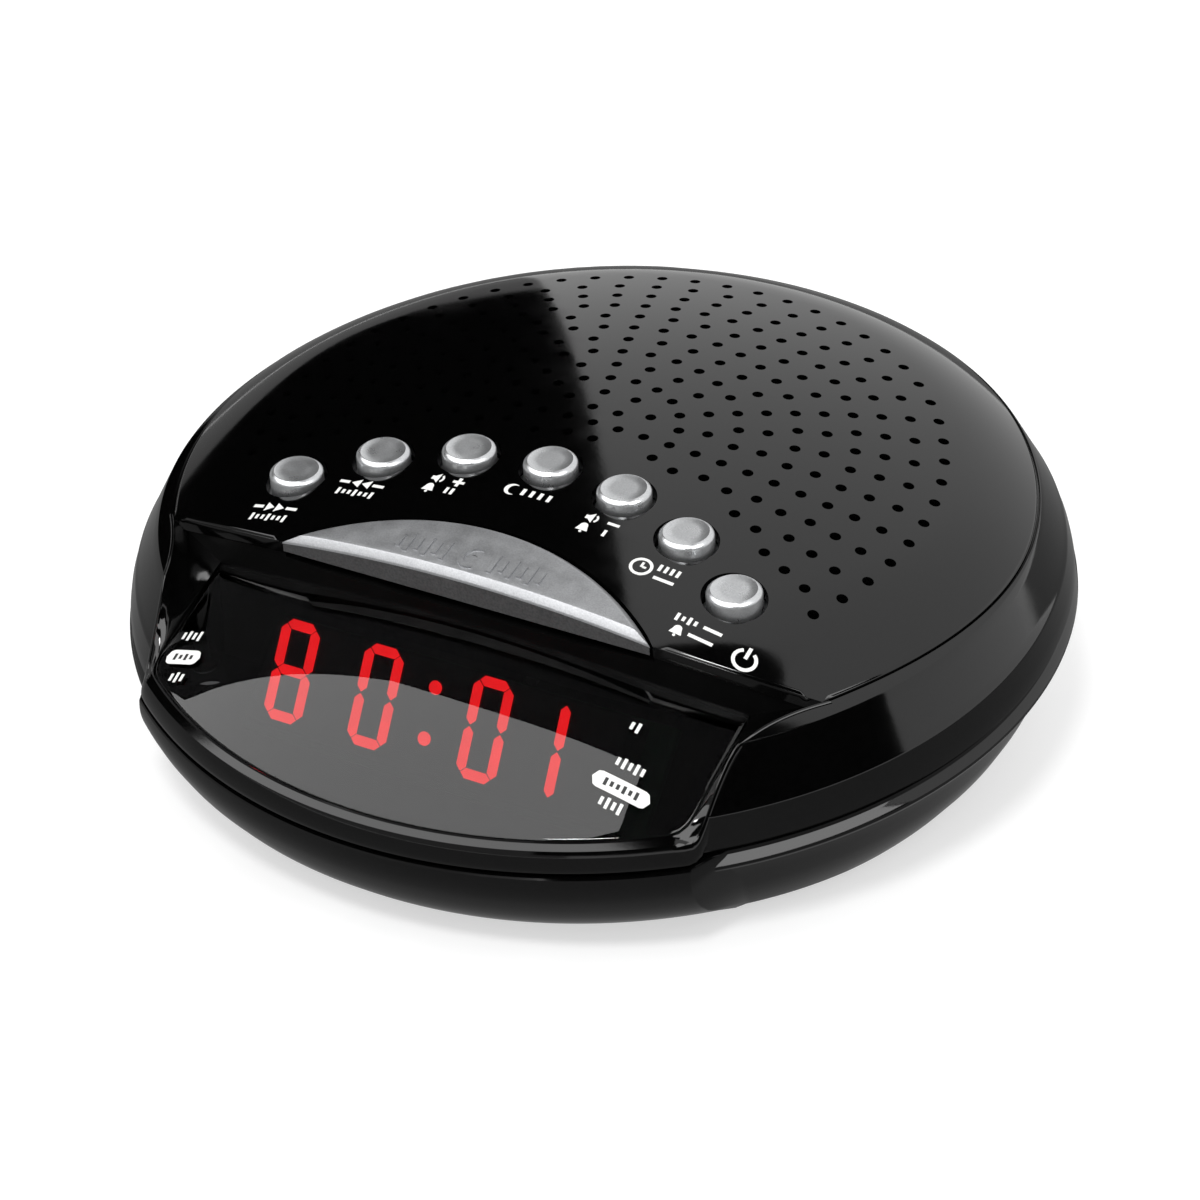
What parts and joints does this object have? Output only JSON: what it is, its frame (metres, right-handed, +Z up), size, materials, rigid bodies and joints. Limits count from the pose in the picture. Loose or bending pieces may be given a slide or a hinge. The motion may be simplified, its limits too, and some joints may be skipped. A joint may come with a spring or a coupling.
{
  "type": "clock radio",
  "caption": "Low round clock radio leaning to the front, with a red digit display behind a smoked domed lens, an arc of press buttons and a half-moon snooze bar.",
  "frame": {"origin": "on the table, below the middle of the body's bounding box", "axes": "+X to the right of someone facing the display, +Y to the back, +Z up"},
  "size_m": [0.1526, 0.1539, 0.0527],
  "materials": {
    "case_black": "satin gloss",
    "smoked_lens": "polished",
    "button_silver": "satin silver",
    "snooze_grey": "satin silver",
    "circuit_board": "solder mask",
    "chip_black": "moulded",
    "zinc_steel": "zinc plated",
    "speaker_paper": "pressed paper",
    "ferrite_grey": "sintered ferrite",
    "white_nylon": "moulded",
    "core_iron": "varnished laminations",
    "copper_wire": "enamelled winding",
    "sleeve_blue": "shrink sleeve",
    "soft_rubber": "matte",
    "cable_jacket": "jacket"
  },
  "bodies": {
    "casing": {"aerial_grommet": "soft_rubber", "antenna_coil": "copper_wire", "backup_battery": "sleeve_blue", "base_shell": "case_black", "battery_box": "case_black", "battery_snap": "chip_black", "board_screw_1": "zinc_steel", "board_screw_2": "zinc_steel", "case_screw_1": "zinc_steel", "case_screw_2": "zinc_steel", "case_screw_3": "zinc_steel", "case_screw_4": "zinc_steel", "clock_chip": "chip_black", "cord_grommet": "soft_rubber", "display_board": "circuit_board", "display_lens": "smoked_lens", "display_module": "chip_black", "display_ribbon": "cable_jacket", "ferrite_rod": "ferrite_grey", "filter_capacitor": "sleeve_blue", "foot_1": "soft_rubber", "foot_2": "soft_rubber", "foot_3": "soft_rubber", "foot_4": "soft_rubber", "front_bezel": "case_black", "key_board": "circuit_board", "key_switch_1": "chip_black", "key_switch_2": "chip_black", "key_switch_3": "chip_black", "key_switch_4": "chip_black", "key_switch_5": "chip_black", "key_switch_6": "chip_black", "key_switch_7": "chip_black", "main_board": "circuit_board", "radio_chip": "chip_black", "rod_clip_1": "white_nylon", "rod_clip_2": "white_nylon", "snooze_switch": "chip_black", "speaker_clamp_ring": "white_nylon", "speaker_cone": "speaker_paper", "speaker_frame": "zinc_steel", "speaker_lead": "cable_jacket", "speaker_magnet": "ferrite_grey", "top_shell": "case_black", "transformer_coil": "copper_wire", "transformer_core": "core_iron"},
    "tune_up_button": {"tune_up_button": "button_silver"},
    "tune_down_button": {"tune_down_button": "button_silver"},
    "volume_up_button": {"volume_up_button": "button_silver"},
    "sleep_button": {"sleep_button": "button_silver"},
    "volume_down_button": {"volume_down_button": "button_silver"},
    "time_set_button": {"time_set_button": "button_silver"},
    "power_button": {"power_button": "button_silver"},
    "snooze_bar": {"snooze_bar": "snooze_grey"},
    "battery_cover": {"battery_cover": "case_black"}
  },
  "joints": [
    {"name": "tune_up_press", "type": "slide", "parent": "casing", "child": "tune_up_button", "axis": [0, 0.1045, -0.9945], "range_m": [0, 0.0008], "stiffness_N_per_m": 400, "springref_m": -0.001},
    {"name": "tune_down_press", "type": "slide", "parent": "casing", "child": "tune_down_button", "axis": [0, 0.1045, -0.9945], "range_m": [0, 0.0008], "stiffness_N_per_m": 400, "springref_m": -0.001},
    {"name": "volume_up_press", "type": "slide", "parent": "casing", "child": "volume_up_button", "axis": [0, 0.1045, -0.9945], "range_m": [0, 0.0008], "stiffness_N_per_m": 400, "springref_m": -0.001},
    {"name": "sleep_press", "type": "slide", "parent": "casing", "child": "sleep_button", "axis": [0, 0.1045, -0.9945], "range_m": [0, 0.0008], "stiffness_N_per_m": 400, "springref_m": -0.001},
    {"name": "volume_down_press", "type": "slide", "parent": "casing", "child": "volume_down_button", "axis": [0, 0.1045, -0.9945], "range_m": [0, 0.0008], "stiffness_N_per_m": 400, "springref_m": -0.001},
    {"name": "time_set_press", "type": "slide", "parent": "casing", "child": "time_set_button", "axis": [0, 0.1045, -0.9945], "range_m": [0, 0.0008], "stiffness_N_per_m": 400, "springref_m": -0.001},
    {"name": "power_press", "type": "slide", "parent": "casing", "child": "power_button", "axis": [0, 0.1045, -0.9945], "range_m": [0, 0.0008], "stiffness_N_per_m": 400, "springref_m": -0.001},
    {"name": "snooze_press", "type": "slide", "parent": "casing", "child": "snooze_bar", "axis": [0, 0.1045, -0.9945], "range_m": [0, 0.0012], "stiffness_N_per_m": 400, "springref_m": -0.0015},
    {"name": "battery_cover_slide", "type": "slide", "parent": "casing", "child": "battery_cover", "axis": [-1, 0, 0], "range_m": [0, 0.04]}
  ]
}
